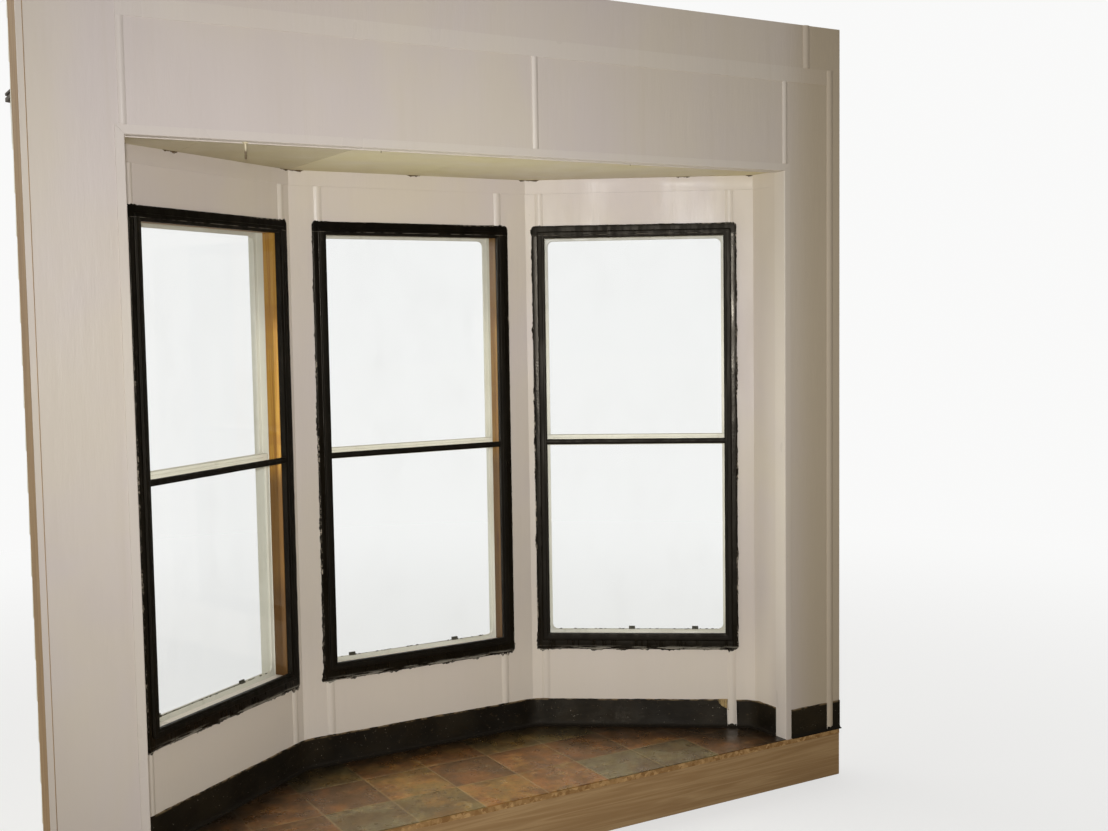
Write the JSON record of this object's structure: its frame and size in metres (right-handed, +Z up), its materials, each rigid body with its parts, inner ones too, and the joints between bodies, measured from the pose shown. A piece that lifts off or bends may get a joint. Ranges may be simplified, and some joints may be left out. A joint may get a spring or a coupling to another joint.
{
  "type": "walk-in bay window",
  "caption": "Walk-in canted bay with tall black-framed double windows, paneled inside, sided outside, under a low hip roof.",
  "frame": {"origin": "middle of the bounding box's underside", "axes": "+Z up, +X to the right along the house wall as seen from the room, +Y outdoors, -Y into the room"},
  "size_m": [2.4942, 0.8148, 2.445],
  "materials": {
    "framing_timber": "sawn softwood framing",
    "floor_board": "unfinished floor board",
    "floor_vinyl": "slate-patterned sheet vinyl, satin",
    "wall_paint": "thin wall board with warm off-white paint",
    "ceiling_paint": "thin ceiling board with yellowed off-white paint",
    "trim_paint": "moulded strip with warm off-white paint",
    "black_aluminium": "brushed-on black paint, satin, worn at the edges",
    "window_glass": "clear float glass",
    "liner_wood": "varnished softwood, orange-brown",
    "white_aluminium": "white-coated aluminium, chalky",
    "siding_vinyl": "cream lap siding, matt",
    "outside_trim": "white weatherboard trim, matt",
    "baseboard_vinyl": "charcoal-brown cove vinyl, satin",
    "roof_shingle": "grey mineral-faced shingle",
    "flashing_metal": "folded sheet, dull"
  },
  "bodies": {
    "root": {"floor_platform": "framing_timber", "floor_deck": "floor_board", "floor_covering": "floor_vinyl", "left_wing": "framing_timber", "right_wing": "framing_timber", "header": "framing_timber", "left_jamb_post": "framing_timber", "right_jamb_post": "framing_timber", "left_mullion": "framing_timber", "right_mullion": "framing_timber", "left_apron": "framing_timber", "centre_apron": "framing_timber", "right_apron": "framing_timber", "left_head": "framing_timber", "centre_head": "framing_timber", "right_head": "framing_timber", "wall_panel": "wall_paint", "bay_panels": "wall_paint", "ceiling_panel": "ceiling_paint", "left_inner_frame": "black_aluminium", "centre_inner_frame": "black_aluminium", "right_inner_frame": "black_aluminium", "inner_glass": "window_glass", "left_jamb_liner": "liner_wood", "centre_jamb_liner": "liner_wood", "right_jamb_liner": "liner_wood", "left_outer_window": "white_aluminium", "centre_outer_window": "white_aluminium", "right_outer_window": "white_aluminium", "outer_glass": "window_glass", "wall_siding": "siding_vinyl", "bay_siding": "siding_vinyl", "corner_posts": "outside_trim", "window_casings": "outside_trim", "corner_moulding": "trim_paint", "baseboard": "baseboard_vinyl", "facet_battens": "trim_paint", "wall_battens": "trim_paint", "cornice": "trim_paint", "roof_frame": "framing_timber", "roof_covering": "roof_shingle", "fascia": "outside_trim", "eave_board": "outside_trim", "roof_flashing": "flashing_metal"}
  },
  "joints": []
}
